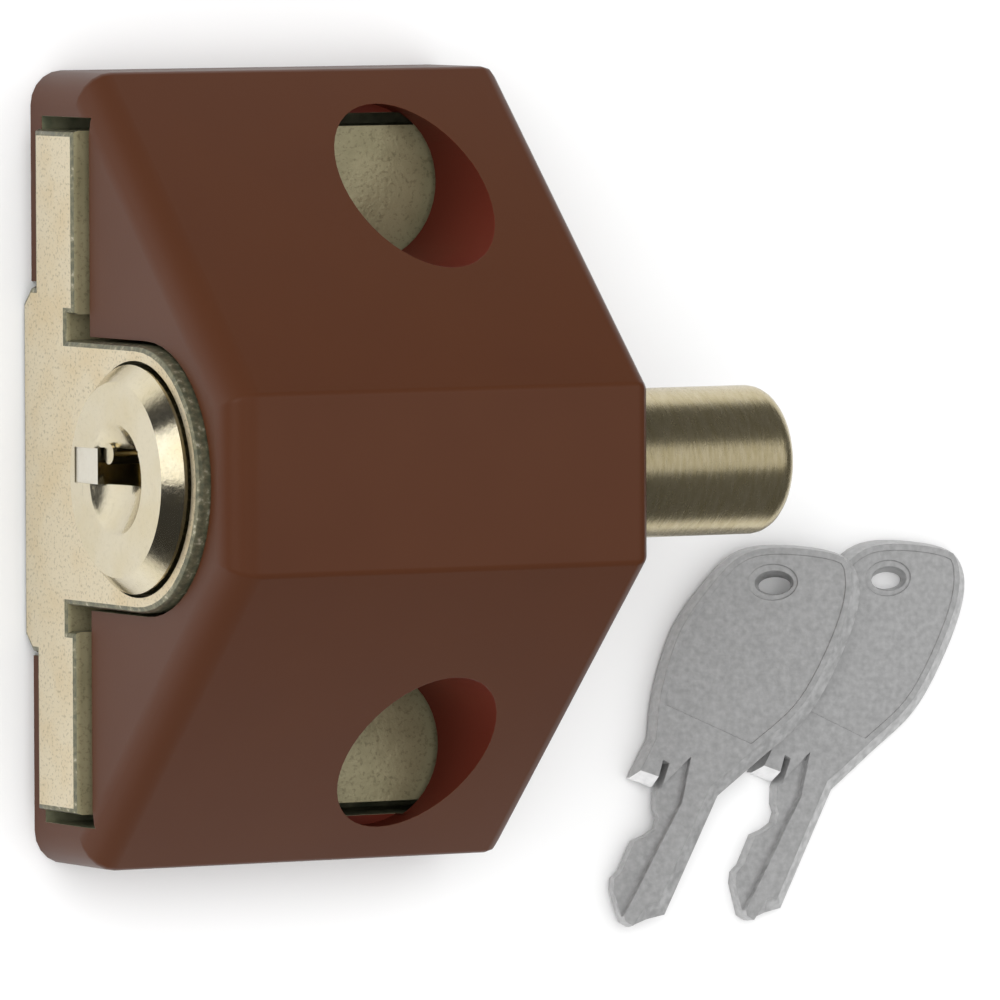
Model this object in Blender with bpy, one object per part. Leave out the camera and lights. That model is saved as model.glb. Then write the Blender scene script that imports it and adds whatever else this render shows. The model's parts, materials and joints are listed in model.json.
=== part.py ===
"""Surface-mounted push bolt lock for a patio door or window, with its two keys.

The lock lies on its mounting face. +X is the way the bolt is thrown, +Y runs along the
case and +Z leaves the mounting face. The origin is the middle of the mounting face.
Driving sizes are in millimetres; objects are made in metres.
"""

import math

import bmesh
import bpy
from mathutils import Matrix, Vector

MM = 0.001

# case
CASE_LENGTH = 38.6
CASE_HEIGHT = 65.0
CASE_DEPTH = 34.6
CASE_SIDE_WALL = 9.1
CASE_FRONT_STRIP = 14.5
CASE_OPEN_END_ROUND = 2.8
CASE_BOLT_END_ROUND = 1.4
CASE_LONG_ROUND = 0.8
END_WALL = 3.3
FLOOR = 2.0
SLOT_HALF_HEIGHT = 28.85
SLOT_TOP = 10.3
WINDOW_HALF_HEIGHT = 15.3
WINDOW_END = -1.5
SCREW_X = 6.27
SCREW_Y = 23.15
ACCESS_BORE_RADIUS = 6.5
SCREW_HOLE_RADIUS = 2.25
COUNTERSINK_RADIUS = 4.0
STOP_PIN_X = -14.0
STOP_PIN_Y = 21.0
STOP_PIN_RADIUS = 1.5
STOP_PIN_LOW = 0.2
STOP_PIN_TOP = 5.0

# everything on the lock's axis, which is parallel to X
AXIS_Z = 20.0
BOLT_RADIUS = 6.15
BOLT_END = 38.2
BOLT_START = 3.1
BOLT_NOSE_ROUND = 1.7
CROSS_PIN_X = 6.0
CROSS_PIN_RADIUS = 1.25
CROSS_PIN_HALF_LENGTH = 10.2
RETURN_SPRING_RADIUS = 7.6
RETURN_SPRING_WIRE = 1.1

# carrier
CARRIER_FACE = -20.25
CARRIER_END = 15.7
WING_HALF_HEIGHT = 27.8
WING_BOTTOM = 2.3
WING_TOP = 9.3
BLOCK_HALF_HEIGHT = 14.95
BLOCK_BACK = 0.15
BLOCK_END = -2.0
BLOCK_CORNER = 1.4
FACE_BEVEL = 0.5
FOOT_GROOVE_REACH = 12.9
FOOT_GROOVE_FLOOR = 7.9
BOSS_RADIUS = 10.8
BOSS_END = 9.0
SLIDE_TRAVEL = 16.0

# key cylinder
HEAD_RADIUS = 9.25
HEAD_FLAT_RADIUS = 7.9
HEAD_FRONT = -22.1
HEAD_SHOULDER = -20.7
HEAD_BACK = -18.3
DISH_RADIUS = 4.25
DISH_FLOOR_RADIUS = 3.0
DISH_DEPTH = 0.9
PLUG_RADIUS = 7.0
PLUG_END = -4.6
PLUG_GROOVE_X = -6.6
PLUG_GROOVE_RADIUS = 5.9
PLUG_GROOVE_HALF_WIDTH = 1.2
RETAINING_PIN_RADIUS = 1.0
RETAINING_PIN_LOW = 0.6
KEYWAY_HALF_WIDTH = 1.35
KEYWAY_LOW = -2.9
KEYWAY_HIGH = 4.3
KEYWAY_END = -8.0
EAR_NOTCH_HALF_WIDTH = 1.55
EAR_NOTCH_LOW = -5.7
EAR_NOTCH_DEPTH = 1.4
WAFER_FIRST_X = -17.0
WAFER_PITCH = 1.9
WAFER_THICKNESS = 1.0
WAFER_HALF_WIDTH = 2.5
WAFER_HALF_HEIGHT = 6.4
WAFER_LIFTS = (0.8, 0.5, 0.7, 0.4, 0.6)
WAFER_WINDOW_HALF_WIDTH = 1.45
WAFER_WINDOW_LOW = -2.8
WAFER_WINDOW_HEIGHT = 5.6
WAFER_TAB_REACH = 4.2
WAFER_TAB = (-0.2, 0.6)
WAFER_SPRING_POCKET_REACH = 4.6
WAFER_SPRING_POCKET = (-1.3, 4.2)
WAFER_SPRING_PLACE = 3.55
WAFER_SPRING_RADIUS = 0.38
WAFER_SPRING_WIRE = 0.22
WAFER_SPRING = (0.95, 3.85)
GROOVE_SIDE_ROOM = 0.4
GROOVE_END_ROOM = 1.5
GROOVE_START = 5.0

# latch behind the plug, moved by an eccentric pin
LATCH_X = -0.75
LATCH_HALF_LENGTH = 2.25
LATCH_HALF_WIDTH = 3.0
LATCH_LOW = 16.0
LATCH_HIGH = 30.3
LATCH_TRAVEL = 2.26
LATCH_HEADROOM = 0.6
LATCH_SPRING_ROOM = 5.0
LATCH_SPRING_RADIUS = 1.5
LATCH_SPRING_WIRE = 0.5
DRIVE_PIN_OFFSET = 1.13
DRIVE_PIN_RADIUS = 0.9
DRIVE_PIN_IN_PLUG = 1.6
DRIVE_PIN_IN_LATCH = 2.4
DRIVE_ROOM_RADIUS = 2.8

# gaps between pieces
GAP = 0.3
SLIDE_GAP = 0.2
OVERRUN = 1.0  # how far a cutter runs past the face that it opens

# keys
KEY_THICKNESS = 1.8
KEY_WIDTH_SCALE = 0.96
KEY_MILL_DEPTH = 0.6
KEY_HOLE_CENTRE = (-1.6, 17.6)
KEY_HOLE_HALF_WIDTH = 1.9
KEY_HOLE_HALF_LENGTH = 1.15
KEY_SHOULDER = (42.0, -27.6)
KEY_TURN = math.radians(-30.0)
KEY_SPACING = 11.8
KEY_TILT = math.radians(10.8)
KEY_TILT_FROM = (35.5, -27.6)
KEY_TILT_HEADING = math.radians(73.0)

COLOURS = {
    "brown_paint": ((0.095, 0.041, 0.022), 0.45, 0.0),
    "plated_zinc": ((0.62, 0.57, 0.45), 0.35, 1.0),
    "turned_steel": ((0.52, 0.47, 0.36), 0.3, 1.0),
    "pin_steel": ((0.45, 0.45, 0.44), 0.3, 1.0),
    "spring_steel": ((0.3, 0.3, 0.31), 0.35, 1.0),
    "brass": ((0.6, 0.42, 0.14), 0.3, 1.0),
    "key_metal": ((0.4, 0.4, 0.4), 0.4, 1.0),
}


def clear_scene():
    for thing in list(bpy.data.objects):
        bpy.data.objects.remove(thing, do_unlink=True)


def material(name, kind):
    colour, roughness, metallic = COLOURS[kind]
    made = bpy.data.materials.new(name)
    made.use_nodes = True
    shader = made.node_tree.nodes["Principled BSDF"]
    shader.inputs["Base Color"].default_value = (*colour, 1.0)
    shader.inputs["Roughness"].default_value = roughness
    shader.inputs["Metallic"].default_value = metallic
    return made


def add_object(name, mesh):
    """Link an object that holds the mesh."""
    made = bpy.data.objects.new(name, mesh)
    bpy.context.collection.objects.link(made)
    return made


def finish_mesh(name, bm):
    """Turn a bmesh in millimetres into an object's mesh in metres."""
    bmesh.ops.scale(bm, vec=(MM, MM, MM), verts=bm.verts)
    bmesh.ops.recalc_face_normals(bm, faces=bm.faces)
    mesh = bpy.data.meshes.new(name)
    bm.to_mesh(mesh)
    bm.free()
    return add_object(name, mesh)


def part(thing, kind):
    """Make an object a sub-part: its own material, and smooth round faces."""
    thing.data.materials.append(material(thing.name, kind))
    thing.data.shade_smooth()
    thing.data.set_sharp_from_angle(angle=math.radians(30.0))
    return thing


def place(axis, along, first, second):
    """A point given by its place along an axis and its two other coordinates."""
    if axis == "X":
        return Vector((along, first, second))
    if axis == "Y":
        return Vector((first, along, second))
    return Vector((first, second, along))


def extruded(bm, axis, outline, start, end):
    """Extrude a closed outline along an axis."""
    low = [bm.verts.new(place(axis, start, a, b)) for a, b in outline]
    high = [bm.verts.new(place(axis, end, a, b)) for a, b in outline]
    bm.faces.new(low)
    bm.faces.new(high)
    for i in range(len(outline)):
        j = (i + 1) % len(outline)
        bm.faces.new((low[i], low[j], high[j], high[i]))


def prism(name, axis, outline, start, end):
    bm = bmesh.new()
    extruded(bm, axis, outline, start, end)
    return finish_mesh(name, bm)


def box(name, x, y, z):
    """A box from its low and high place along each axis."""
    outline = [(x[0], y[0]), (x[1], y[0]), (x[1], y[1]), (x[0], y[1])]
    return prism(name, "Z", outline, z[0], z[1])


def circle(centre, radius, steps):
    turns = [2 * math.pi * i / steps for i in range(steps)]
    return [(centre[0] + radius * math.cos(t), centre[1] + radius * math.sin(t)) for t in turns]


def rod(name, axis, centre, radius, start, end, steps):
    return prism(name, axis, circle(centre, radius, steps), start, end)


def upright_cone(name, centre, low, high, steps):
    """A cone cut off at both ends, each end given by its height and radius."""
    bm = bmesh.new()
    rings = []
    for height, radius in (low, high):
        rings.append([bm.verts.new((x, y, height)) for x, y in circle(centre, radius, steps)])
    for i in range(steps):
        j = (i + 1) % steps
        bm.faces.new((rings[0][i], rings[0][j], rings[1][j], rings[1][i]))
    bm.faces.new(rings[0])
    bm.faces.new(rings[1])
    return finish_mesh(name, bm)


def turned(name, profile, steps):
    """Turn a profile of (x, radius) points about the lock's axis; both its ends are on the axis."""
    bm = bmesh.new()
    rings = []
    for x, radius in profile:
        if radius == 0.0:
            rings.append([bm.verts.new((x, 0.0, AXIS_Z))])
        else:
            rings.append([bm.verts.new((x, a, b)) for a, b in circle((0.0, AXIS_Z), radius, steps)])
    for one, two in zip(rings, rings[1:]):
        for i in range(steps):
            j = (i + 1) % steps
            corners = [one[i % len(one)], one[j % len(one)], two[j % len(two)], two[i % len(two)]]
            bm.faces.new(list(dict.fromkeys(corners)))
    return finish_mesh(name, bm)


def arc(centre, radius, first, last, steps):
    """Points on an arc, from one angle to another in degrees."""
    turns = [math.radians(first + (last - first) * i / steps) for i in range(steps + 1)]
    return [(centre[0] + radius * math.cos(t), centre[1] + radius * math.sin(t)) for t in turns]


def cut(thing, *tools):
    """Take the tools' shapes out of a piece."""
    for tool in tools:
        change = thing.modifiers.new(tool.name, "BOOLEAN")
        change.operation = "DIFFERENCE"
        change.solver = "EXACT"
        change.object = tool
        tool.hide_render = True
        tool.display_type = "WIRE"


def coil(name, axis, centre, radius, wire, start, end, turns, steps, sides):
    """A spring: a round wire swept along a helix."""
    bm = bmesh.new()
    count = round(turns * steps)
    climb = (end - start) / count
    rings = []
    for i in range(count + 1):
        turn = 2 * math.pi * i / steps
        out = (math.cos(turn), math.sin(turn))
        ring = []
        for k in range(sides):
            angle = 2 * math.pi * k / sides
            reach = radius + wire / 2 * math.cos(angle)
            along = start + climb * i + wire / 2 * math.sin(angle)
            spot = (centre[0] + reach * out[0], centre[1] + reach * out[1])
            ring.append(bm.verts.new(place(axis, along, *spot)))
        rings.append(ring)
    for one, two in zip(rings, rings[1:]):
        for k in range(sides):
            n = (k + 1) % sides
            bm.faces.new((one[k], one[n], two[n], two[k]))
    bm.faces.new(rings[0])
    bm.faces.new(rings[-1])
    return finish_mesh(name, bm)


def rounded_corner(before, corner, after, radius, steps):
    """Points along a round that replaces a corner of an outline."""
    corner = Vector(corner)
    back = (Vector(before) - corner).normalized()
    on = (Vector(after) - corner).normalized()
    half = back.angle(on) / 2
    centre = corner + (back + on).normalized() * radius / math.sin(half)
    first = corner + back * radius / math.tan(half) - centre
    last = corner + on * radius / math.tan(half) - centre
    sweep = math.pi - 2 * half
    points = []
    for i in range(steps + 1):
        share = i / steps * sweep
        mixed = first * math.sin(sweep - share) + last * math.sin(share)
        points.append(tuple(centre + mixed / math.sin(sweep)))
    return points


def case_section(inset):
    """The case's trapezoid section, drawn in from its sides, slopes and front by the inset."""
    half = CASE_HEIGHT / 2
    strip = CASE_FRONT_STRIP / 2
    rise = CASE_DEPTH - CASE_SIDE_WALL
    slope = math.hypot(half - strip, rise)
    lean = (half - strip) / rise
    shift = inset * slope / rise
    front = CASE_DEPTH - inset
    side = half - inset
    front_y = strip + lean * inset - shift
    side_z = CASE_SIDE_WALL + (inset - shift) / lean
    corners = [(side, 0.0), (side, side_z), (front_y, front), (-front_y, front), (-side, side_z), (-side, 0.0)]
    radius = max(CASE_LONG_ROUND - inset / 4, 0.2)
    outline = [corners[0]]
    for i in range(1, 5):
        outline += rounded_corner(corners[i - 1], corners[i], corners[i + 1], radius, 2)
    return outline + [corners[5]]


def case_shell():
    """The outside of the case: a prism of trapezoid section whose ends are rounded to its faces."""
    end = CASE_LENGTH / 2
    stations = []
    for turn in (0.0, 18.0, 36.0, 54.0, 72.0, 90.0):
        rise = math.sin(math.radians(turn))
        reach = math.cos(math.radians(turn))
        stations.append((CASE_OPEN_END_ROUND * (1 - reach) - end, CASE_OPEN_END_ROUND * (1 - rise)))
    for turn in (90.0, 60.0, 30.0, 0.0):
        rise = math.sin(math.radians(turn))
        reach = math.cos(math.radians(turn))
        stations.append((end - CASE_BOLT_END_ROUND * (1 - reach), CASE_BOLT_END_ROUND * (1 - rise)))
    bm = bmesh.new()
    rings = [[bm.verts.new((x, y, z)) for y, z in case_section(inset)] for x, inset in stations]
    for one, two in zip(rings, rings[1:]):
        for i in range(len(one)):
            j = (i + 1) % len(one)
            bm.faces.new((one[i], one[j], two[j], two[i]))
    bm.faces.new(rings[0])
    bm.faces.new(rings[-1])
    return finish_mesh("housing", bm)


def boss_outline(radius, foot):
    """The D-shaped section of the boss: a half circle on straight sides that reach the foot."""
    return [(-radius, foot), (radius, foot)] + arc((0.0, AXIS_Z), radius, 0.0, 180.0, 24)


def make_housing():
    """The case: hollow for the carrier, open to the back behind the plug, with its bores and holes."""
    housing = case_shell()
    left = -CASE_LENGTH / 2 - OVERRUN
    inside = CASE_LENGTH / 2 - END_WALL
    outside = CASE_LENGTH / 2 + OVERRUN
    cavity = BOSS_RADIUS + GAP
    latch_room = LATCH_HALF_LENGTH + GAP
    latch_side = LATCH_HALF_WIDTH + GAP
    window = WINDOW_HALF_HEIGHT
    cut(
        housing,
        box("slot_cut", (left, inside), (-SLOT_HALF_HEIGHT, SLOT_HALF_HEIGHT), (FLOOR, SLOT_TOP)),
        prism("boss_cut", "X", boss_outline(cavity, SLOT_TOP - OVERRUN), left, inside),
        box("window_cut", (left, WINDOW_END), (-window, window), (-OVERRUN, FLOOR + OVERRUN)),
        rod("bolt_hole_cut", "X", (0.0, AXIS_Z), BOLT_RADIUS + GAP, inside - OVERRUN, outside, 48),
        box(
            "latch_recess_cut",
            (LATCH_X - latch_room, LATCH_X + latch_room),
            (-latch_side, latch_side),
            (AXIS_Z + cavity - 2 * OVERRUN, LATCH_HIGH + LATCH_TRAVEL + LATCH_HEADROOM),
        ),
    )
    for side, name in ((1, "upper"), (-1, "lower")):
        cut_screw_place(housing, name, (SCREW_X, side * SCREW_Y))
        pin = (STOP_PIN_X, side * STOP_PIN_Y)
        cut(housing, rod(name + "_pin_cut", "Z", pin, STOP_PIN_RADIUS + GAP, -OVERRUN, FLOOR + OVERRUN, 20))
    part(housing, "brown_paint")


def cut_screw_place(housing, name, at):
    """The bore that a screwdriver goes through, over a countersunk hole in the floor."""
    flare = COUNTERSINK_RADIUS - SCREW_HOLE_RADIUS
    low = (FLOOR - flare, SCREW_HOLE_RADIUS)
    high = (FLOOR + OVERRUN, COUNTERSINK_RADIUS + OVERRUN)
    cut(
        housing,
        rod(name + "_access_cut", "Z", at, ACCESS_BORE_RADIUS, SLOT_TOP - OVERRUN, CASE_DEPTH, 48),
        rod(name + "_screw_cut", "Z", at, SCREW_HOLE_RADIUS, -OVERRUN, FLOOR + OVERRUN, 24),
        upright_cone(name + "_countersink_cut", at, low, high, 24),
    )


def make_stop_pins():
    """Pins in the case's floor that end the carrier's travel."""
    for side, name in ((1, "stop_pin_upper"), (-1, "stop_pin_lower")):
        at = (STOP_PIN_X, side * STOP_PIN_Y)
        part(rod(name, "Z", at, STOP_PIN_RADIUS, STOP_PIN_LOW, STOP_PIN_TOP, 20), "pin_steel")


def carrier_block():
    """The carrier's outside: two wings, a block between them, and the boss with a groove at its foot."""
    wing = WING_HALF_HEIGHT
    block = BLOCK_HALF_HEIGHT
    corner = BLOCK_CORNER
    groove = FOOT_GROOVE_REACH
    deep = FOOT_GROOVE_FLOOR
    side = [(block - corner, BLOCK_BACK), (block, BLOCK_BACK + corner), (block, WING_BOTTOM)]
    side += [(wing, WING_BOTTOM), (wing, WING_TOP), (groove, WING_TOP), (groove, deep), (BOSS_RADIUS, deep)]
    outline = side + arc((0.0, AXIS_Z), BOSS_RADIUS, 0.0, 180.0, 24) + [(-y, z) for y, z in reversed(side)]
    bm = bmesh.new()
    extruded(bm, "X", outline, CARRIER_FACE, CARRIER_END)
    bmesh.ops.recalc_face_normals(bm, faces=bm.faces)
    rim = [e for e in bm.edges if all(abs(v.co.x - CARRIER_FACE) < 0.01 for v in e.verts)]
    bmesh.ops.bevel(bm, geom=rim, offset=FACE_BEVEL, segments=2, profile=0.5, affect="EDGES")
    return finish_mesh("carrier", bm)


def make_carrier():
    carrier = carrier_block()
    far = CARRIER_END + OVERRUN
    low = -OVERRUN
    window = WINDOW_HALF_HEIGHT
    boss = BOSS_RADIUS + OVERRUN
    axis = (0.0, AXIS_Z)
    cut(
        carrier,
        box("block_end_cut", (BLOCK_END, far), (-window, window), (low, WING_BOTTOM)),
        box("boss_end_cut", (BOSS_END, far), (-boss, boss), (WING_TOP, CASE_DEPTH)),
        rod("bolt_socket_cut", "X", axis, BOLT_RADIUS + GAP, BOLT_START - GAP, far, 48),
        cross_pin_cutter("carrier_cross_pin_cut"),
    )
    cut_plug_room(carrier)
    cut_latch_room(carrier)
    stop = STOP_PIN_RADIUS + GAP
    along = (STOP_PIN_X - stop, STOP_PIN_X + SLIDE_TRAVEL + stop)
    for side, name in ((1, "upper"), (-1, "lower")):
        across = sorted((side * (STOP_PIN_Y - stop), side * (STOP_PIN_Y + stop)))
        cut(carrier, box(name + "_stop_groove_cut", along, across, (0.0, STOP_PIN_TOP + GAP)))
    part(carrier, "plated_zinc")


def cut_plug_room(carrier):
    """The barrel for the plug, its two wafer grooves and the hole for the retaining pin."""
    axis = (0.0, AXIS_Z)
    along = (HEAD_BACK + 0.1, WAFER_FIRST_X + 4 * WAFER_PITCH + WAFER_THICKNESS)
    half = WAFER_HALF_WIDTH + GROOVE_SIDE_ROOM
    far = WAFER_HALF_HEIGHT + GROOVE_END_ROOM
    pin = RETAINING_PIN_RADIUS + GAP
    cut(
        carrier,
        rod("head_cut", "X", axis, HEAD_RADIUS + GAP, CARRIER_FACE - OVERRUN, HEAD_BACK + GAP, 64),
        rod("barrel_cut", "X", axis, PLUG_RADIUS + SLIDE_GAP, HEAD_BACK - GAP, PLUG_END + GAP, 48),
        box("wafer_groove_cut", along, (-half, half), (AXIS_Z - far, AXIS_Z - GROOVE_START)),
        box("locked_groove_cut", along, (GROOVE_START, far), (AXIS_Z - half, AXIS_Z + half)),
        rod("retaining_pin_cut", "Z", (PLUG_GROOVE_X, 0.0), pin, -OVERRUN, AXIS_Z - PLUG_GROOVE_RADIUS, 20),
    )


def cut_latch_room(carrier):
    """The slot that the latch slides in, and the room for the pin that drives it."""
    room = LATCH_HALF_LENGTH + GAP
    side = LATCH_HALF_WIDTH + GAP
    start = PLUG_END - GAP
    cut(
        carrier,
        rod("drive_cut", "X", (0.0, AXIS_Z), DRIVE_ROOM_RADIUS, start, LATCH_X - LATCH_HALF_LENGTH, 24),
        box(
            "latch_cut",
            (LATCH_X - room, LATCH_X + room),
            (-side, side),
            (LATCH_LOW - LATCH_SPRING_ROOM, CASE_DEPTH),
        ),
    )


def cross_pin_cutter(name):
    reach = BOSS_RADIUS + OVERRUN
    return rod(name, "Y", (CROSS_PIN_X, AXIS_Z), CROSS_PIN_RADIUS + GAP, -reach, reach, 20)


def make_bolt():
    """A round bar with a chamfered inner end and a rounded nose."""
    chamfer = 0.5
    centre = (BOLT_END - BOLT_NOSE_ROUND, BOLT_RADIUS - BOLT_NOSE_ROUND)
    nose = arc(centre, BOLT_NOSE_ROUND, 90.0, 0.0, 5)
    profile = [(BOLT_START, 0.0), (BOLT_START, BOLT_RADIUS - chamfer), (BOLT_START + chamfer, BOLT_RADIUS)]
    profile += nose + [(BOLT_END, 0.0)]
    bolt = turned("bolt", profile, 48)
    cut(bolt, cross_pin_cutter("bolt_cross_pin_cut"))
    part(bolt, "turned_steel")


def make_cross_pin():
    reach = CROSS_PIN_HALF_LENGTH
    part(rod("bolt_cross_pin", "Y", (CROSS_PIN_X, AXIS_Z), CROSS_PIN_RADIUS, -reach, reach, 20), "pin_steel")


def make_return_spring():
    """The spring round the bolt that pushes the carrier out."""
    wire = RETURN_SPRING_WIRE
    start = BOSS_END + GAP + wire / 2
    end = CASE_LENGTH / 2 - END_WALL - GAP - wire / 2
    axis = (0.0, AXIS_Z)
    part(coil("return_spring", "X", axis, RETURN_SPRING_RADIUS, wire, start, end, 3.5, 20, 6), "spring_steel")


def wafer_places():
    return [WAFER_FIRST_X + i * WAFER_PITCH for i in range(len(WAFER_LIFTS))]


def make_plug():
    """The turning cylinder: head, body, keyway, wafer slots and the hole for the drive pin."""
    groove = PLUG_GROOVE_HALF_WIDTH
    profile = [
        (HEAD_FRONT + DISH_DEPTH, 0.0),
        (HEAD_FRONT + DISH_DEPTH, DISH_FLOOR_RADIUS),
        (HEAD_FRONT, DISH_RADIUS),
        (HEAD_FRONT, HEAD_FLAT_RADIUS),
        (HEAD_SHOULDER, HEAD_RADIUS),
        (HEAD_BACK, HEAD_RADIUS),
        (HEAD_BACK, PLUG_RADIUS),
        (PLUG_GROOVE_X - groove, PLUG_RADIUS),
        (PLUG_GROOVE_X - groove, PLUG_GROOVE_RADIUS),
        (PLUG_GROOVE_X + groove, PLUG_GROOVE_RADIUS),
        (PLUG_GROOVE_X + groove, PLUG_RADIUS),
        (PLUG_END, PLUG_RADIUS),
        (PLUG_END, 0.0),
    ]
    plug = turned("plug", profile, 64)
    front = HEAD_FRONT - OVERRUN
    pin_start = PLUG_END - DRIVE_PIN_IN_PLUG - GAP
    keyway = (-KEYWAY_HALF_WIDTH, KEYWAY_HALF_WIDTH)
    notch = (-EAR_NOTCH_HALF_WIDTH, EAR_NOTCH_HALF_WIDTH)
    cut(
        plug,
        box("keyway_cut", (front, KEYWAY_END), keyway, (AXIS_Z + KEYWAY_LOW, AXIS_Z + KEYWAY_HIGH)),
        box(
            "ear_notch_cut",
            (front, HEAD_FRONT + EAR_NOTCH_DEPTH),
            notch,
            (AXIS_Z + EAR_NOTCH_LOW, AXIS_Z + KEYWAY_LOW + 0.1),
        ),
        rod("drive_pin_cut", "X", drive_pin_place(), DRIVE_PIN_RADIUS + GAP, pin_start, PLUG_END + OVERRUN, 16),
    )
    cut_wafer_slots(plug)
    part(plug, "plated_zinc")


def cut_wafer_slots(plug):
    """A slot right through the plug for each wafer, and a pocket beside it for the wafer's spring."""
    slot = WAFER_THICKNESS / 2 + 0.15
    side = WAFER_HALF_WIDTH + SLIDE_GAP
    reach = PLUG_RADIUS + OVERRUN
    low, high = WAFER_SPRING_POCKET
    for i, x in enumerate(wafer_places(), start=1):
        along = (x - slot, x + slot)
        pocket = (side - 0.5, WAFER_SPRING_POCKET_REACH)
        cut(
            plug,
            box(f"wafer_slot_cut_{i}", along, (-side, side), (AXIS_Z - reach, AXIS_Z + reach)),
            box(f"spring_pocket_cut_{i}", along, pocket, (AXIS_Z + low, AXIS_Z + high)),
        )


def drive_pin_place():
    return (DRIVE_PIN_OFFSET, AXIS_Z - DRIVE_PIN_OFFSET)


def make_wafers():
    """Flat tumblers, held at the height that the key lifts them to, each with its own window."""
    wide = WAFER_HALF_WIDTH
    tall = WAFER_HALF_HEIGHT
    reach = WAFER_TAB_REACH
    low, high = WAFER_TAB
    half = WAFER_THICKNESS / 2
    window = WAFER_WINDOW_HALF_WIDTH
    for i, (x, lift) in enumerate(zip(wafer_places(), WAFER_LIFTS), start=1):
        outline = [(-wide, -tall), (wide, -tall), (wide, low), (reach, low), (reach, high), (wide, high)]
        outline += [(wide, tall), (-wide, tall)]
        wafer = prism(f"wafer_{i}", "X", [(y, AXIS_Z + z) for y, z in outline], x - half, x + half)
        bottom = AXIS_Z + WAFER_WINDOW_LOW + lift
        heights = (bottom, bottom + WAFER_WINDOW_HEIGHT)
        cut(wafer, box(f"wafer_window_cut_{i}", (x - 2 * half, x + 2 * half), (-window, window), heights))
        part(wafer, "brass")


def make_wafer_springs():
    low, high = WAFER_SPRING
    radius = WAFER_SPRING_RADIUS
    wire = WAFER_SPRING_WIRE
    for i, x in enumerate(wafer_places(), start=1):
        at = (x, WAFER_SPRING_PLACE)
        made = coil(f"wafer_spring_{i}", "Z", at, radius, wire, AXIS_Z + low, AXIS_Z + high, 3, 8, 4)
        part(made, "spring_steel")


def make_pins():
    """The off-centre pin that works the latch, and the pin that keeps the plug in its barrel."""
    start = PLUG_END - DRIVE_PIN_IN_PLUG
    end = LATCH_X - LATCH_HALF_LENGTH + DRIVE_PIN_IN_LATCH
    part(rod("plug_drive_pin", "X", drive_pin_place(), DRIVE_PIN_RADIUS, start, end, 16), "pin_steel")
    top = AXIS_Z - PLUG_GROOVE_RADIUS - GAP
    at = (PLUG_GROOVE_X, 0.0)
    part(rod("plug_retaining_pin", "Z", at, RETAINING_PIN_RADIUS, RETAINING_PIN_LOW, top, 16), "pin_steel")


def make_latch():
    """The block that the plug's drive pin throws into the case; it is stored withdrawn."""
    latch = box(
        "latch",
        (LATCH_X - LATCH_HALF_LENGTH, LATCH_X + LATCH_HALF_LENGTH),
        (-LATCH_HALF_WIDTH, LATCH_HALF_WIDTH),
        (LATCH_LOW, LATCH_HIGH),
    )
    middle = drive_pin_place()[1]
    half = DRIVE_PIN_RADIUS + SLIDE_GAP
    front = LATCH_X - LATCH_HALF_LENGTH
    side = LATCH_HALF_WIDTH + OVERRUN
    along = (front - OVERRUN, front + DRIVE_PIN_IN_LATCH + GAP)
    cut(latch, box("drive_groove_cut", along, (-side, side), (middle - half, middle + half)))
    part(latch, "pin_steel")


def make_latch_spring():
    """The spring under the latch, in the slot that the latch slides in."""
    wire = LATCH_SPRING_WIRE
    low = LATCH_LOW - LATCH_SPRING_ROOM + GAP + wire / 2
    high = LATCH_LOW - GAP - wire / 2
    at = (LATCH_X, 0.0)
    part(coil("latch_spring", "Z", at, LATCH_SPRING_RADIUS, wire, low, high, 4, 14, 5), "spring_steel")


def smooth_outline(points, steps):
    """A curve through the points, with rounded turns between them."""
    found = []
    for i in range(len(points) - 1):
        before = Vector(points[max(i - 1, 0)])
        here = Vector(points[i])
        there = Vector(points[i + 1])
        after = Vector(points[min(i + 2, len(points) - 1)])
        for k in range(steps):
            t = k / steps
            bend = (2 * before - 5 * here + 4 * there - after) * t
            spread = 3 * here - before - 3 * there + after
            found.append(0.5 * (2 * here + (there - before) * t + bend * t + spread * t ** 3))
    return [tuple(p) for p in found] + [points[-1]]


def key_outline():
    """The key seen from above, its blade pointing down, from its shoulder round the bow and back."""
    bow = [(3.0, -0.4), (4.9, 4.0), (7.0, 9.0), (7.4, 14.0), (6.8, 19.2), (5.2, 22.0), (2.4, 22.6)]
    bow += [(-2.8, 20.6), (-5.7, 18.2), (-7.0, 14.2), (-7.5, 9.8), (-6.5, 4.6), (-5.0, 1.0)]
    ear = [(-5.0, -2.8), (-2.75, -2.5), (-3.15, -0.3), (-2.75, -0.3), (-2.3, -2.8)]
    cuts = [(-1.6, -4.1), (-1.0, -4.6), (-0.8, -5.5), (-1.3, -6.4), (-2.1, -7.3), (-1.9, -10.0), (-2.2, -10.9)]
    tip = [(-1.8, -11.8), (0.3, -13.8), (1.2, -13.8), (2.3, -12.5), (3.6, -11.4)]
    return smooth_outline(bow, 3) + ear + cuts + tip


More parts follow.
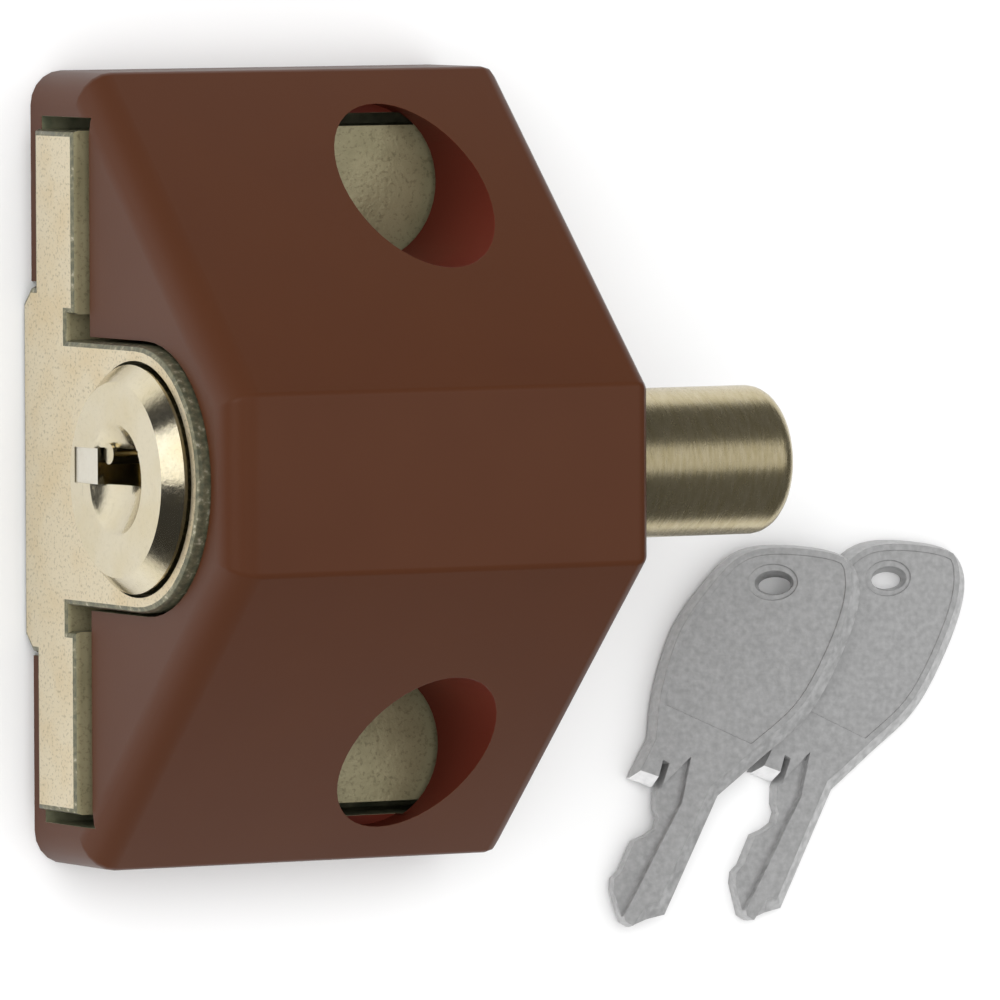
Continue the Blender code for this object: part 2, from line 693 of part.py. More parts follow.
def key_mesh():
    """One key, flat on the floor, with its hanging hole and the milled side of its blade."""
    scaled = [(u * KEY_WIDTH_SCALE, v) for u, v in key_outline()]
    key = prism("key_blank", "Z", scaled, 0.0, KEY_THICKNESS)
    u, v = KEY_HOLE_CENTRE
    level = Matrix.Rotation(-KEY_TURN, 2)
    ring = [(KEY_HOLE_HALF_WIDTH * a, KEY_HOLE_HALF_LENGTH * b) for a, b in circle((0.0, 0.0), 1.0, 20)]
    hole = [tuple(Vector((u, v)) + level @ Vector(point)) for point in ring]
    milled = [(0.0, -15.0), (0.0, -2.5), (-1.1, 1.2), (-2.1, -1.8), (-2.3, -3.4)]
    milled += [(-4.0, -3.4), (-4.0, -15.0)]
    top = KEY_THICKNESS + OVERRUN
    cut(
        key,
        prism("key_hole_cut", "Z", hole, -OVERRUN, top),
        prism("key_mill_cut", "Z", milled, KEY_THICKNESS - KEY_MILL_DEPTH, top),
    )
    return key


def baked(thing):
    """The object's mesh with its modifiers worked out."""
    seen = thing.evaluated_get(bpy.context.evaluated_depsgraph_get())
    return bpy.data.meshes.new_from_object(seen)


def make_keys():
    """Two keys: the second lies flat, and the first leans on its bow."""
    blank = key_mesh()
    bpy.context.view_layer.update()
    mesh = baked(blank)
    for tool in [m.object for m in blank.modifiers] + [blank]:
        bpy.data.objects.remove(tool, do_unlink=True)
    flat = Matrix.Translation(Vector((*KEY_SHOULDER, 0.0)) * MM) @ Matrix.Rotation(KEY_TURN, 4, "Z")
    hinge = Matrix.Translation(Vector((*KEY_TILT_FROM, 0.0)) * MM)
    heading = Vector((math.cos(KEY_TILT_HEADING), math.sin(KEY_TILT_HEADING), 0.0))
    tilt = hinge @ Matrix.Rotation(-KEY_TILT, 4, heading) @ hinge.inverted()
    aside = Matrix.Translation(Vector((KEY_SPACING, 0.0, 0.0)) * MM)
    for name, where in (("key_1", tilt @ flat), ("key_2", aside @ flat)):
        key = add_object(name, mesh.copy())
        key.matrix_world = where
        part(key, "key_metal")


def main():
    clear_scene()
    make_housing()
    make_stop_pins()
    make_carrier()
    make_bolt()
    make_cross_pin()
    make_return_spring()
    make_plug()
    make_wafers()
    make_wafer_springs()
    make_pins()
    make_latch()
    make_latch_spring()
    make_keys()


main()
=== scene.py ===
"""Looks of the surface bolt lock: finer meshes, plated and painted finishes, studio and camera.

Each visible piece starts from its CAD node's shape, so it sits where the frame says, and gets
rounded edges, extra detail and its own procedural material. Sizes are in millimetres, and the
frame and the finished objects are in metres.
"""

import json
import math

import bmesh
import bpy
from mathutils import Matrix, Vector


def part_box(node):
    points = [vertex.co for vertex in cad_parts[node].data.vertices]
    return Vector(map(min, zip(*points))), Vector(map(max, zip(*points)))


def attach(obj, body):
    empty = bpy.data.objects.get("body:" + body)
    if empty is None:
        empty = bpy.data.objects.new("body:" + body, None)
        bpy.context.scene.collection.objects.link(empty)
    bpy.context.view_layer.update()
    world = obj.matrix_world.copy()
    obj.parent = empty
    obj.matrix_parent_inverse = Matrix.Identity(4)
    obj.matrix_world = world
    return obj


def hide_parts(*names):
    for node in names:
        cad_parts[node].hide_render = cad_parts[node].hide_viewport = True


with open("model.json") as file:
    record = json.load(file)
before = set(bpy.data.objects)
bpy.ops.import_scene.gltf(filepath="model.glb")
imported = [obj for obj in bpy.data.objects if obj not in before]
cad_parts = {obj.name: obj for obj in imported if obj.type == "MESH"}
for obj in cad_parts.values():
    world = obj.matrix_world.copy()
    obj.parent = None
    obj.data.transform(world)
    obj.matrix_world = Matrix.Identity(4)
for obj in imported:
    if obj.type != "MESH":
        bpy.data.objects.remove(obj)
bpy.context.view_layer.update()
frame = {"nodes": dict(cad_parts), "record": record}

MM = 0.001
WELD = 0.000002
FLAT_ANGLE = math.radians(0.7)

# camera
CAMERA_PLACE = Vector((-509.97, 55.77, 954.65)) * MM
CAMERA_RIGHT = Vector((0.87245, -0.00379, 0.48869))
CAMERA_UP = Vector((0.02992, 0.99851, -0.04567))
CAMERA_BACK = Vector((-0.48779, 0.05447, 0.87126))
CAMERA_LENS = 472.9

# casting faces: how near the hull counts as outside, and where the screw bores and wings are
OUTSIDE_WITHIN = 0.02
BORE_ABOVE = 9.0
BORE_REACH = 6.8
WINGS_BELOW = 10.0

# plug: depths behind its front face, and places across (Y) and up (Z) from its axis
MOUTH_DEPTH = 4.2
MOUTH_ACROSS = (-0.5, 2.5)
MOUTH_UP = (-3.3, 3.9)
FILLING_START = 0.005
FILLING_HALF_WIDTH = 1.7
NOTCH_UP = (-5.9, -2.85)
KEYWAY_TOP = 4.4
PAD_DEPTH = 0.12
PAD_BACK = 2.6
PAD_ACROSS = (-0.5, 2.4)
PAD_LOW = -7.1
WARD_PLACE = (2.0, -2.2)
WARD_RADIUS = 0.85
WARD_SPAN = (0.55, 3.4)
BOWL_RADIUS = 4.5
BOWL_DEPTH = 1.6
BOWL_ABOVE = 0.4
BOWL_RINGS = 11

# keys, whose own axes run across the blade (u) and towards the bow (v)
KEY_THICKNESS = 1.8
KEY_SHOULDER_HEIGHT = 0.75
KEY_WIDTH_SCALE = 0.96
KEY_HOLE = (-1.6, 17.6)
KEY_MILL_DEPTH = 0.6
KEY_RIM = 0.55
KEY_FACE_END = 3.8
KEY_FACE_DEPTH = 0.1
KEY_HOLE_RIM_DEPTH = 0.25
KEY_HOLE_RIM = ((2.2, 1.5), (2.5, 1.75))
KEY_HOLE_BELOW = (1.35, 0.6)
KEY_HOLE_ABOVE = (1.8, 1.1)
KEY_HOLE_LEAN = (1.02, 0.13)
EAR_END = ((-5.0, -2.8), (-2.75, -2.5))
EAR_END_SLOPE = 0.9
KEY_SHOULDER = (42.0, -27.6)
KEY_TURN = math.radians(-30.0)
KEY_SPACING = 11.8
KEY_TILT = math.radians(10.8)
KEY_TILT_FROM = (35.5, -27.6)
KEY_TILT_HEADING = math.radians(73.0)

# studio, in metres
FLOOR_REACH = 3.0
FLOOR_DROP = 0.00005
FLOOR_LIT_TO = 0.07
FLOOR_DARK_FROM = 0.22
DARK_CARD = (0.06, 0.06, 0.06, 1.0)
WORLD_LIGHT = 0.95
WORLD_SHINE = 0.05
LIGHTS_AIM = (0.0, 0.0, 0.02)


def srgb(red, green, blue):
    """A screen colour from 0 to 255 as a linear one."""
    def one(value):
        share = value / 255
        return share / 12.92 if share <= 0.04045 else ((share + 0.055) / 1.055) ** 2.4
    return (one(red), one(green), one(blue), 1.0)


# materials

class Nodes:
    """A short way to wire up a material's nodes."""

    def __init__(self, name):
        self.material = bpy.data.materials.new(name)
        self.material.use_nodes = True
        self.tree = self.material.node_tree
        self.shader = self.tree.nodes["Principled BSDF"]
        self.place = self.add("ShaderNodeTexCoord").outputs["Object"]

    def add(self, kind, **settings):
        node = self.tree.nodes.new(kind)
        for key, value in settings.items():
            setattr(node, key, value)
        return node

    def link(self, start, end):
        self.tree.links.new(start, end)

    def stretched(self, scale):
        """The object's own coordinates, stretched along each axis."""
        mapping = self.add("ShaderNodeMapping")
        mapping.inputs["Scale"].default_value = scale
        self.link(self.place, mapping.inputs["Vector"])
        return mapping.outputs["Vector"]

    def noise(self, scale, detail=3.0, stretch=(1.0, 1.0, 1.0)):
        """Noise whose scale is in lumps per metre."""
        node = self.add("ShaderNodeTexNoise")
        node.inputs["Scale"].default_value = scale
        node.inputs["Detail"].default_value = detail
        self.link(self.stretched(stretch), node.inputs["Vector"])
        return node.outputs["Fac"]

    def ramp(self, value, *stops):
        node = self.add("ShaderNodeValToRGB")
        stops_made = node.color_ramp.elements
        while len(stops_made) < len(stops):
            stops_made.new(0.5)
        for made, (position, colour) in zip(stops_made, stops):
            made.position = position
            made.color = colour if len(colour) == 4 else (*colour, 1.0)
        self.link(value, node.inputs["Fac"])
        return node.outputs["Color"]

    def mix(self, share, first, second):
        node = self.add("ShaderNodeMix", data_type="RGBA")
        self.link(share, node.inputs["Factor"])
        for value, socket in ((first, node.inputs["A"]), (second, node.inputs["B"])):
            if isinstance(value, tuple):
                socket.default_value = value
            else:
                self.link(value, socket)
        return node.outputs["Result"]

    def bump(self, height, strength, distance, under=None):
        node = self.add("ShaderNodeBump")
        node.inputs["Strength"].default_value = strength
        node.inputs["Distance"].default_value = distance
        self.link(height, node.inputs["Height"])
        if under is not None:
            self.link(under, node.inputs["Normal"])
        return node.outputs["Normal"]

    def grey(self, value, low, high):
        """Spread a 0 to 1 value over a range, for roughness."""
        node = self.add("ShaderNodeMapRange")
        node.inputs["To Min"].default_value = low
        node.inputs["To Max"].default_value = high
        self.link(value, node.inputs["Value"])
        return node.outputs["Result"]

    def finish(self, metallic, **values):
        """Set the shader's sockets, each from a value or from another node."""
        self.shader.inputs["Metallic"].default_value = metallic
        for key, value in values.items():
            socket = self.shader.inputs[key.replace("_", " ")]
            if hasattr(value, "is_linked"):
                self.link(value, socket)
            else:
                socket.default_value = value
        return self.material


def paint(name, base, dark, specular):
    """Satin stove paint on a casting: a faint orange peel and slow changes of tone."""
    made = Nodes(name)
    cloud = made.noise(90.0, 2.0)
    colour = made.mix(cloud, base, dark)
    peel = made.noise(2600.0, 2.0)
    normal = made.bump(peel, 0.12, 0.00003)
    rough = made.grey(cloud, 0.36, 0.42)
    return made.finish(0.0, Base_Color=colour, Roughness=rough, Normal=normal, Specular_IOR_Level=specular)


def cast_plating(name, base, stain, rough, grain, metallic=1.0, pitting=0.4):
    """Plating over a casting: pits, a fine grain and warm stains."""
    made = Nodes(name)
    patches = made.ramp(made.noise(260.0, 4.0), (0.42, base), (0.72, stain))
    pits = made.ramp(made.noise(3600.0, 3.0), (0.34, (0.35, 0.33, 0.27)), (0.45, (1.0, 1.0, 1.0)))
    pitted = made.add("ShaderNodeMix", data_type="RGBA", blend_type="MULTIPLY")
    pitted.inputs["Factor"].default_value = pitting
    made.link(patches, pitted.inputs["A"])
    made.link(pits, pitted.inputs["B"])
    speckle = made.noise(2400.0, 4.0)
    waves = made.noise(420.0, 2.0)
    normal = made.bump(waves, 0.25 * grain, 0.0002, made.bump(speckle, 0.5 * grain, 0.00008))
    roughness = made.grey(speckle, rough - 0.06, rough + 0.08)
    return made.finish(metallic, Base_Color=pitted.outputs["Result"], Roughness=roughness, Normal=normal)


def bare_zinc():
    """The unpainted inside of the case: matt grey-green metal."""
    made = Nodes("bare_zinc")
    tone = made.ramp(made.noise(700.0, 4.0), (0.35, srgb(118, 122, 98)), (0.65, srgb(160, 158, 128)))
    normal = made.bump(made.noise(2200.0, 3.0), 0.5, 0.00008)
    return made.finish(0.3, Base_Color=tone, Roughness=0.42, Normal=normal)


def turned_steel():
    """Plated bar with turning marks round it and a few scratches."""
    made = Nodes("turned_steel")
    bands = made.noise(500.0, 3.0, (6.0, 1.0, 1.0))
    tone = made.ramp(bands, (0.35, srgb(180, 167, 130)), (0.7, srgb(194, 182, 150)))
    rings = made.noise(1100.0, 5.0, (10.0, 0.5, 0.5))
    flecks = made.noise(1500.0, 4.0, (3.0, 1.0, 1.0))
    normal = made.bump(rings, 0.35, 0.00006, made.bump(flecks, 0.25, 0.00004))
    rough = made.grey(flecks, 0.16, 0.34)
    return made.finish(0.9, Base_Color=tone, Roughness=rough, Normal=normal)


def worn_edge():
    """The rubbed edges and sides of the casting: dark, with a few brighter specks."""
    made = Nodes("worn_plating")
    specks = made.noise(2000.0, 5.0)
    dark, middle, bright = srgb(94, 94, 76), srgb(124, 120, 96), srgb(206, 200, 180)
    tone = made.ramp(specks, (0.40, dark), (0.60, middle), (0.78, bright))
    normal = made.bump(made.noise(1900.0, 3.0), 0.4, 0.0001)
    return made.finish(0.5, Base_Color=tone, Roughness=0.3, Normal=normal)


def key_metal(name, dark, light):
    """Tumbled nickel plate: neutral grey with a fine mottle and soft scratches."""
    made = Nodes(name)
    tone = made.ramp(made.noise(1900.0, 5.0), (0.3, srgb(dark, dark, dark)), (0.7, srgb(light, light, light)))
    scratches = made.noise(900.0, 4.0, (1.0, 7.0, 1.0))
    mottle = made.noise(1700.0, 3.0)
    normal = made.bump(mottle, 0.4, 0.00006, made.bump(scratches, 0.15, 0.00004))
    return made.finish(0.5, Base_Color=tone, Roughness=made.grey(mottle, 0.34, 0.5), Normal=normal)


def plain_metal(name, dark, light, rough, metallic=1.0):
    """Drawn wire, pins, stamped brass, and the cut edges of the keys."""
    made = Nodes(name)
    tone = made.ramp(made.noise(1300.0, 3.0), (0.35, dark), (0.65, light))
    normal = made.bump(made.noise(2500.0, 2.0), 0.2, 0.00004)
    return made.finish(metallic, Base_Color=tone, Roughness=rough, Normal=normal)


def floor_material():
    """Pale floor whose far part looks dark to what mirrors it, as if black cards stood there."""
    made = Nodes("studio_floor")
    cloud = made.noise(3.0, 2.0)
    tone = made.ramp(cloud, (0.3, (0.93, 0.93, 0.93)), (0.7, (0.95, 0.95, 0.95)))
    distance = made.add("ShaderNodeVectorMath", operation="LENGTH")
    made.link(made.place, distance.inputs[0])
    far = made.add("ShaderNodeMapRange", interpolation_type="SMOOTHSTEP")
    far.inputs["From Min"].default_value = FLOOR_LIT_TO
    far.inputs["From Max"].default_value = FLOOR_DARK_FROM
    made.link(distance.outputs["Value"], far.inputs["Value"])
    rays = made.add("ShaderNodeLightPath")
    both = made.add("ShaderNodeMath", operation="MULTIPLY")
    made.link(far.outputs["Result"], both.inputs[0])
    made.link(rays.outputs["Is Glossy Ray"], both.inputs[1])
    colour = made.mix(both.outputs["Value"], tone, DARK_CARD)
    return made.finish(0.0, Base_Color=colour, Roughness=0.9, Specular_IOR_Level=0.0)


# meshes

def shaped(name, bm, materials):
    """An object made from a bmesh, with its materials."""
    mesh = bpy.data.meshes.new(name)
    bm.to_mesh(mesh)
    bm.free()
    for material in materials:
        mesh.materials.append(material)
    piece = bpy.data.objects.new(name, mesh)
    bpy.context.collection.objects.link(piece)
    return piece


def cad_shape(node):
    """The CAD node's shape with its triangles merged back into flat faces."""
    bm = bmesh.new()
    bm.from_mesh(frame["nodes"][node].data)
    bmesh.ops.remove_doubles(bm, verts=bm.verts, dist=WELD)
    bmesh.ops.dissolve_limit(bm, angle_limit=FLAT_ANGLE, verts=bm.verts, edges=bm.edges)
    bmesh.ops.recalc_face_normals(bm, faces=bm.faces)
    return bm


def skin(rings):
    """A closed solid through rings of points in millimetres, capped at both ends."""
    bm = bmesh.new()
    made = [[bm.verts.new(point) for point in ring] for ring in rings]
    for one, two in zip(made, made[1:]):
        for i in range(len(one)):
            j = (i + 1) % len(one)
            bm.faces.new((one[i], one[j], two[j], two[i]))
    bm.faces.new(made[0])
    bm.faces.new(made[-1])
    bmesh.ops.recalc_face_normals(bm, faces=bm.faces)
    bmesh.ops.scale(bm, vec=(MM, MM, MM), verts=bm.verts)
    return bm


def block(x, y, z):
    """A box from its low and high place along each axis, in millimetres."""
    corners = [(x[0], y[0]), (x[1], y[0]), (x[1], y[1]), (x[0], y[1])]
    return skin([[(a, b, height) for a, b in corners] for height in z])


def ellipse(centre, across, along, steps, z, turn=0.0):
    """An oval of points round a centre, turned by an angle."""
    level = Matrix.Rotation(turn, 2)
    found = []
    for i in range(steps):
        t = 2 * math.pi * i / steps
        point = Vector(centre) + level @ Vector((across * math.cos(t), along * math.sin(t)))
        found.append((*point, z))
    return found


def reshape(piece, operation, bm):
    """Join a shape to a piece or take it away, and keep only the result."""
    tool = shaped(piece.name + "_tool", bm, [])
    change = piece.modifiers.new("reshape", "BOOLEAN")
    change.operation = operation
    change.solver = "EXACT"
    change.object = tool
    bpy.context.view_layer.update()
    result = bpy.data.meshes.new_from_object(piece.evaluated_get(bpy.context.evaluated_depsgraph_get()))
    piece.modifiers.remove(change)
    old = piece.data
    piece.data = result
    bpy.data.meshes.remove(old)
    bpy.data.objects.remove(tool, do_unlink=True)


def round_edges(piece, width, segments, angle=38.0, material=-1):
    """Round a piece's sharp edges, by a width in millimetres, and shade it."""
    bevel = piece.modifiers.new("edges", "BEVEL")
    bevel.width = width * MM
    bevel.segments = segments
    bevel.limit_method = "ANGLE"
    bevel.angle_limit = math.radians(angle)
    bevel.miter_outer = "MITER_ARC"
    bevel.material = material
    shade(piece)


def shade(piece):
    """Smooth shading that leaves the flat faces flat."""
    for face in piece.data.polygons:
        face.use_smooth = True
    weights = piece.modifiers.new("normals", "WEIGHTED_NORMAL")
    weights.weight = 80
    weights.keep_sharp = True


def finished(piece, body, slot, *nodes):
    """Put a piece on its body, and hide its CAD nodes."""
    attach(piece, body)
    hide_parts(*nodes)


def make_case(paint_out, bore_shade_paint, zinc):
    """The case: paint outside, a redder and darker copy of the paint on the screw bore walls as painted shade
    for the deep red shade inside them, and bare metal inside.
    """
    bores = []
    for opening in frame["record"]["physics"]["openings"]:
        low, high = (Vector(corner) / MM for corner in opening["box_m"])
        bores.append(((low + high) / 2).xy)
    bm = cad_shape("housing")
    points = [vert.co / MM for vert in bm.verts]
    for face in bm.faces:
        middle = face.calc_center_median() / MM
        outside = max((point - middle).dot(face.normal) for point in points) < OUTSIDE_WITHIN
        # faces in the screw bores take the redder, darker copy of the paint: painted shade
        in_bore = middle.z > BORE_ABOVE and min((middle.xy - bore).length for bore in bores) < BORE_REACH
        face.material_index = 0 if outside else 1 if in_bore else 2
    piece = shaped("case_casting", bm, [paint_out, bore_shade_paint, zinc])
    round_edges(piece, 0.2, 3)
    finished(piece, "case", "brown_paint", "housing")


def make_carrier(face_finish, worn, top_shade_plating):
    """The carrier: a pale cast face, worn dark on its edges and sides, and on its wing tops pitted plating in
    a darker olive tone, painted shade for the slot and bores above them.
    """
    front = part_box("carrier")[0].x / MM
    bm = cad_shape("carrier")
    for face in bm.faces:
        middle = face.calc_center_median() / MM
        if abs(face.normal.x + 1) < 0.001:
            face.material_index = 0
        elif face.normal.z > 0.9 and middle.z < WINGS_BELOW:
            # wing tops take the darker olive plating: painted shade
            face.material_index = 2
        else:
            face.material_index = 1
    piece = shaped("carrier_casting", bm, [face_finish, worn, top_shade_plating])
    round_edges(piece, 0.18, 3, material=1)
    finished(piece, "carrier", "plated_zinc", "carrier")


def make_plug(polished, bright):
    """The plug, with its dish, its off-centre key mouth, a ward and the pad for the key's ear."""
    low, high = (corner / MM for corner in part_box("plug"))
    front = low.x
    axis = (low.z + high.z) / 2

    def room(depth, across, up):
        return block([front + x for x in depth], across, [axis + z for z in up])

    mouth_low = MOUTH_ACROSS[0]
    side = FILLING_HALF_WIDTH
    pad_up = (PAD_LOW, MOUTH_UP[0])
    ward = ellipse((WARD_PLACE[0], axis + WARD_PLACE[1]), WARD_RADIUS, WARD_RADIUS, 24, 0.0)
    piece = shaped("cylinder_plug", cad_shape("plug"), [polished, bright])
    reshape(piece, "UNION", room((FILLING_START, MOUTH_DEPTH), (-side, mouth_low), (NOTCH_UP[0], KEYWAY_TOP)))
    reshape(piece, "UNION", room((FILLING_START, PAD_BACK), (mouth_low - 0.1, side), NOTCH_UP))
    reshape(piece, "DIFFERENCE", bowl(front, axis))
    reshape(piece, "UNION", room((PAD_DEPTH, PAD_BACK), PAD_ACROSS, pad_up))
    reshape(piece, "DIFFERENCE", room((-1, PAD_DEPTH), PAD_ACROSS, pad_up))
    reshape(piece, "DIFFERENCE", room((-1, MOUTH_DEPTH), MOUTH_ACROSS, MOUTH_UP))
    reshape(piece, "UNION", skin([[(front + x, y, z) for y, z, _ in ward] for x in WARD_SPAN]))
    for face in piece.data.polygons:
        pad = abs(face.normal.x + 1) < 0.01 and abs(face.center.x / MM - front - PAD_DEPTH) < 0.02
        face.material_index = 1 if pad else 0
    round_edges(piece, 0.08, 2, 30.0)
    finished(piece, "plug", "plated_zinc", "plug")


def bowl(front, axis):
    """The round dish in the plug's face, as a lens that is cut out of it."""
    sphere = (BOWL_RADIUS ** 2 + BOWL_DEPTH ** 2) / (2 * BOWL_DEPTH)
    rings = []
    for i in range(BOWL_RINGS):
        depth = BOWL_DEPTH - 0.01 - (BOWL_DEPTH + BOWL_ABOVE) * i / (BOWL_RINGS - 1)
        reach = math.sqrt(sphere ** 2 - (sphere - BOWL_DEPTH + depth) ** 2)
        rings.append([(front + depth, y, axis + z) for y, z, _ in ellipse((0.0, 0.0), reach, reach, 64, 0.0)])
    return skin(rings)


def make_bolt(steel):
    """The bolt's bar, with finer edges."""
    piece = shaped("bolt_bar", cad_shape("bolt"), [steel])
    round_edges(piece, 0.15, 2)
    finished(piece, "carrier", "turned_steel", "bolt")


# keys

def smooth_outline(points, steps):
    """A curve through the points."""
    found = []
    for i in range(len(points) - 1):
        before = Vector(points[max(i - 1, 0)])
        here = Vector(points[i])
        there = Vector(points[i + 1])
        after = Vector(points[min(i + 2, len(points) - 1)])
        for k in range(steps):
            t = k / steps
            bend = (2 * before - 5 * here + 4 * there - after) * t
            spread = 3 * here - before - 3 * there + after
            found.append(0.5 * (2 * here + (there - before) * t + bend * t + spread * t ** 3))
    return [tuple(point) for point in found] + [points[-1]]


def key_outline():
    """The key from above, its blade pointing down, from its shoulder round the bow and back."""
    bow = [(3.0, -0.4), (4.9, 4.0), (7.0, 9.0), (7.4, 14.0), (6.8, 19.2), (5.2, 22.0), (2.4, 22.6)]
    bow += [(-2.8, 20.6), (-5.7, 18.2), (-7.0, 14.2), (-7.5, 9.8), (-6.5, 4.6), (-5.0, 1.0)]
    ear = [*EAR_END, (-3.15, -0.3), (-2.75, -0.3), (-2.3, -2.8)]
    cuts = [(-1.6, -4.1), (-1.0, -4.6), (-0.8, -5.5), (-1.3, -6.4), (-2.1, -7.3), (-1.9, -10.0)]
    tip = [(-2.2, -10.9), (-1.8, -11.8), (0.3, -13.8), (1.2, -13.8), (2.3, -12.5), (3.6, -11.4)]
    return smooth_outline(bow, 5) + ear + cuts + tip


def key_slopes(outline):
    """How wide the slope at each point of the edge is: widest along the key's right side."""
    widths = []
    count = len(outline)
    for i, (u, v) in enumerate(outline):
        along = Vector(outline[(i + 1) % count]) - Vector(outline[i - 1])
        facing = along.y / max(along.length, 0.001)
        if v > 0.9:
            widths.append(0.25 + 1.05 * max(0.0, facing) ** 0.7)
        elif u > 2.0:
            widths.append(1.3)
        else:
            widths.append(0.12)
    return widths


def moved_in(outline, widths):
    """The outline drawn in from its edge by each point's own width."""
    found = []
    count = len(outline)
    for i in range(count):
        here = Vector(outline[i])
        back = (here - Vector(outline[i - 1])).normalized()
        on = (Vector(outline[(i + 1) % count]) - here).normalized()
        inward = Vector((-back.y - on.y, back.x + on.x))
        if inward.length < 0.01:
            inward = back - on
        inward.normalize()
        slant = max(inward.dot(Vector((-back.y, back.x))), 0.5)
        found.append(here + inward * widths[i] / slant)
    return found


def key_shape(metal, cut_end, edge):
    """One key: a blank with sloping edges, a sunk face, a hanging hole and a milled blade."""
    outline = key_outline()
    slopes = key_slopes(outline)
    top = moved_in(outline, slopes)
    for i, (u, v) in enumerate(outline):
        if (u, v) in EAR_END:
            top[i] = (u + (0.3 if u < -4 else -0.2), v + EAR_END_SLOPE)
    scale = KEY_WIDTH_SCALE
    rings = [
        [(u * scale, v, 0.0) for u, v in outline],
        [(u * scale, v, KEY_SHOULDER_HEIGHT) for u, v in outline],
        [(u * scale, v, KEY_THICKNESS) for u, v in top],
    ]
    key = shaped("key_blank", skin(rings), [metal, cut_end, edge])
    above = KEY_THICKNESS + 1
    level = -KEY_TURN
    u, v = KEY_HOLE
    face = [point for point in moved_in(outline, [w + KEY_RIM for w in slopes]) if point.y > KEY_FACE_END]
    rim = [
        ellipse((u, v), *KEY_HOLE_RIM[0], 40, KEY_THICKNESS - KEY_HOLE_RIM_DEPTH, level),
        ellipse((u, v), *KEY_HOLE_RIM[1], 40, above, level),
    ]
    hole = [
        ellipse((u + KEY_HOLE_LEAN[0], v + KEY_HOLE_LEAN[1]), *KEY_HOLE_BELOW, 40, -0.5, level),
        ellipse((u, v), *KEY_HOLE_ABOVE, 40, KEY_THICKNESS + 0.1, level),
    ]
    mill = [(0.0, -15.0), (0.0, -2.5), (-1.1, 1.2), (-2.1, -1.8), (-2.3, -3.4), (-4.0, -3.4), (-4.0, -15.0)]
    sunk = (KEY_THICKNESS - KEY_FACE_DEPTH, above)
    milled = (KEY_THICKNESS - KEY_MILL_DEPTH, above)
    reshape(key, "DIFFERENCE", skin([[(a * scale, b, height) for a, b in face] for height in sunk]))
    reshape(key, "DIFFERENCE", skin(rim))
    reshape(key, "DIFFERENCE", skin(hole))
    reshape(key, "DIFFERENCE", skin([[(a, b, height) for a, b in mill] for height in milled]))
    return key


def key_finish(face):
    """Which of a key's materials a face gets: 1 on the ear's cut end, 2 on bright edges, otherwise 0."""
    u, v, height = face.center / MM
    if face.normal.y < -0.3 and -5.5 < u < -2.6 and -3.2 < v < -1.0:
        return 1
    right_side = face.normal.x > 0.2 and u > 1.5 and v < 22.0
    mill_step = face.normal.x < -0.5 and -1.5 < u < 0.2 and v < 1.5 and height > KEY_SHOULDER_HEIGHT
    return 2 if right_side or mill_step else 0


def make_keys(metal, cut_end, edge):
    """Two keys: the second lies flat, and the first leans on its bow."""
    blank = key_shape(metal, cut_end, edge)
    for face in blank.data.polygons:
        face.material_index = key_finish(face)
    flat = Matrix.Translation(Vector((*KEY_SHOULDER, 0.0)) * MM) @ Matrix.Rotation(KEY_TURN, 4, "Z")
    hinge = Matrix.Translation(Vector((*KEY_TILT_FROM, 0.0)) * MM)
    heading = Vector((math.cos(KEY_TILT_HEADING), math.sin(KEY_TILT_HEADING), 0.0))
    tilt = hinge @ Matrix.Rotation(-KEY_TILT, 4, heading) @ hinge.inverted()
    aside = Matrix.Translation(Vector((KEY_SPACING, 0.0, 0.0)) * MM)
    for name, node, where in (("key_left", "key_1", tilt @ flat), ("key_right", "key_2", aside @ flat)):
        mesh = blank.data.copy()
        mesh.transform(where)
        piece = bpy.data.objects.new(name, mesh)
        bpy.context.collection.objects.link(piece)
        round_edges(piece, 0.05, 2, 24.0)
        finished(piece, node, "key_metal", node)
    bpy.data.objects.remove(blank, do_unlink=True)


def dress_inner_pieces():
    """Materials for the CAD nodes that are shown as they are."""
    brass = plain_metal("wafer_brass", srgb(168, 138, 70), srgb(205, 176, 104), 0.3)
    pins = plain_metal("pin_steel", srgb(150, 150, 146), srgb(186, 186, 182), 0.3)
    wire = plain_metal("spring_wire", srgb(96, 96, 98), srgb(140, 140, 142), 0.35)
    for name, node in frame["nodes"].items():
        if "spring" in name:
            metal = wire
        elif name.startswith("wafer"):
            metal = brass
        elif "pin" in name or name == "latch":
            metal = pins
        else:
            continue
        for place in node.material_slots:
            place.material = metal


# studio

def make_floor():
    """A wide pale plane just under the lock."""
    bm = bmesh.new()
    reach = FLOOR_REACH
    corners = [(-reach, -reach, 0.0), (reach, -reach, 0.0), (reach, reach, 0.0), (-reach, reach, 0.0)]
    bm.faces.new([bm.verts.new(corner) for corner in corners])
    bmesh.ops.subdivide_edges(bm, edges=bm.edges, cuts=4, use_grid_fill=True)
    floor = shaped("studio_floor", bm, [floor_material()])
    floor.location.z = -FLOOR_DROP


def add_light(name, place, size, energy, diffuse=True, glossy=True):
    """An area light aimed at the lock, for matt surfaces only or for shining ones only."""
    data = bpy.data.lights.new(name, "AREA")
    data.shape = "RECTANGLE"
    data.size, data.size_y = size
    data.energy = energy
    lamp = bpy.data.objects.new(name, data)
    bpy.context.collection.objects.link(lamp)
    lamp.location = place
    lamp.rotation_euler = (Vector(LIGHTS_AIM) - Vector(place)).to_track_quat("-Z", "Y").to_euler()
    lamp.visible_diffuse = diffuse
    lamp.visible_glossy = glossy


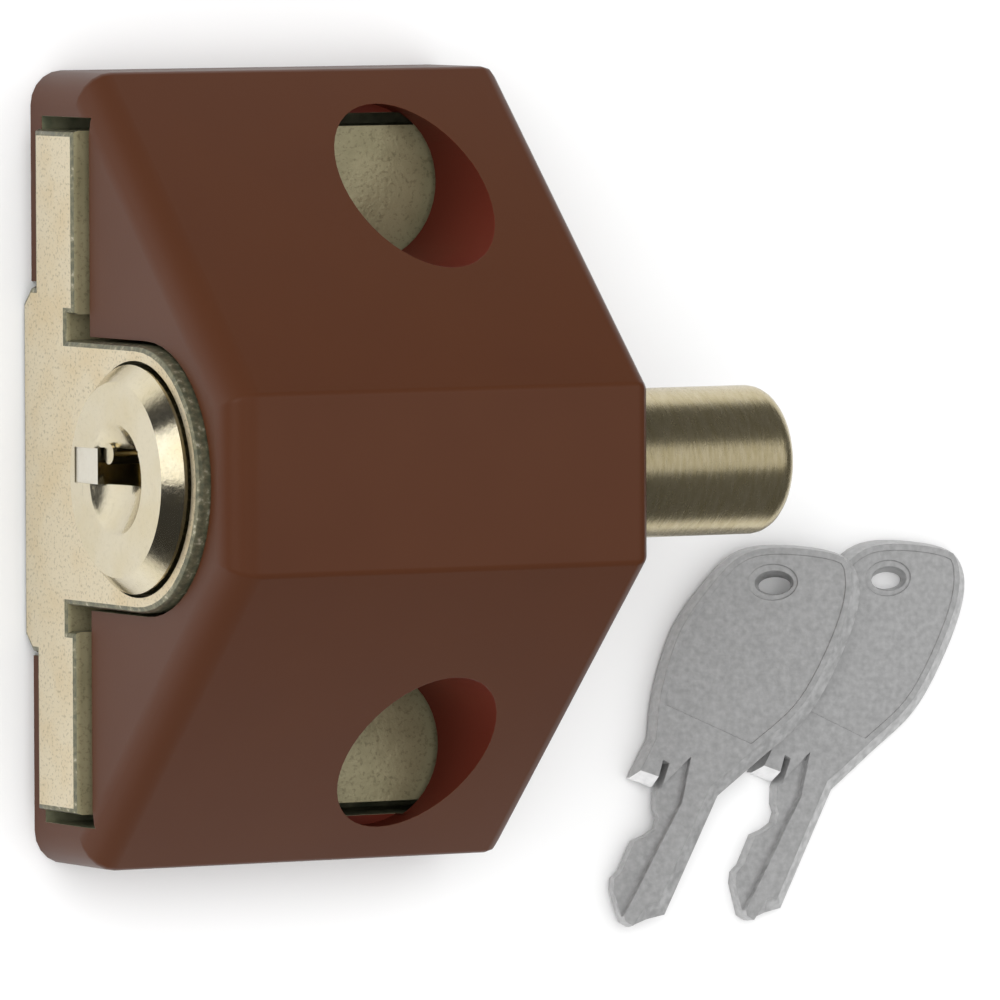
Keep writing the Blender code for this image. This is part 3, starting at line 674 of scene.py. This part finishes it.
def make_world():
    """Even white light on everything, with a dark room for what shines."""
    world = bpy.data.worlds.new("studio")
    world.use_nodes = True
    tree = world.node_tree
    background = tree.nodes["Background"]
    background.inputs["Color"].default_value = (1.0, 1.0, 1.0, 1.0)
    rays = tree.nodes.new("ShaderNodeLightPath")
    strength = tree.nodes.new("ShaderNodeMapRange")
    strength.inputs["To Min"].default_value = WORLD_LIGHT
    strength.inputs["To Max"].default_value = WORLD_SHINE
    tree.links.new(rays.outputs["Is Glossy Ray"], strength.inputs["Value"])
    tree.links.new(strength.outputs["Result"], background.inputs["Strength"])
    bpy.context.scene.world = world


def make_studio():
    make_world()
    make_floor()
    add_light("window_left", (-1.033, 0.366, 0.488), (0.83, 0.5), 2.3, diffuse=False)
    add_light("overhead_right", (0.58, 0.13, 1.0), (0.7, 0.98), 1.75, diffuse=False)
    add_light("soft_key", (-0.5, 0.25, 1.0), (1.2, 1.2), 7.0, glossy=False)


def make_camera():
    """A long lens that sees the lock as the order's picture does."""
    data = bpy.data.cameras.new("camera")
    data.lens = CAMERA_LENS
    data.sensor_width = 36.0
    data.clip_start = 0.05
    data.clip_end = 20.0
    camera = bpy.data.objects.new("camera", data)
    bpy.context.collection.objects.link(camera)
    turn = Matrix((CAMERA_RIGHT, CAMERA_UP, CAMERA_BACK)).transposed().to_4x4()
    camera.matrix_world = Matrix.Translation(CAMERA_PLACE) @ turn
    bpy.context.scene.camera = camera


def main():
    bpy.context.scene.view_settings.view_transform = "Standard"
    make_camera()
    make_studio()
    brown = paint("brown_paint", srgb(81, 44, 22), srgb(77, 40, 19), 0.22)
    # bore walls: a redder, darker copy of the brown paint, painted shade for the deep red shade inside the
    # screw bores
    bore = paint("bore_paint_shaded", srgb(100, 42, 30), srgb(88, 34, 24), 0.05)
    casting = cast_plating("cast_plating", srgb(221, 210, 184), srgb(217, 201, 168), 0.42, 1.0)
    light_tone, dark_tone = srgb(210, 201, 177), srgb(204, 192, 160)
    polished = cast_plating("polished_plating", light_tone, dark_tone, 0.17, 0.25, pitting=0.1)
    bright = cast_plating("bright_plating", srgb(226, 222, 210), srgb(222, 216, 202), 0.5, 0.3, pitting=0.05)
    worn = worn_edge()
    # wing tops: real pits and grain, in a darker olive tone that is painted shade for the slot and bores
    # above them
    wing_top_shade = cast_plating("wing_plating_painted_shade", srgb(168, 160, 126), srgb(150, 143, 110), 0.32, 1.0, 0.45)
    make_case(brown, bore, bare_zinc())
    make_carrier(casting, worn, wing_top_shade)
    make_plug(polished, bright)
    make_bolt(turned_steel())
    cut_end = plain_metal("key_cut_metal", srgb(236, 236, 236), srgb(248, 248, 248), 0.5, 0.1)
    edge = plain_metal("key_edge_metal", srgb(160, 160, 160), srgb(188, 188, 188), 0.4, 0.3)
    make_keys(key_metal("key_metal", 166, 186), cut_end, edge)
    dress_inner_pieces()


main()
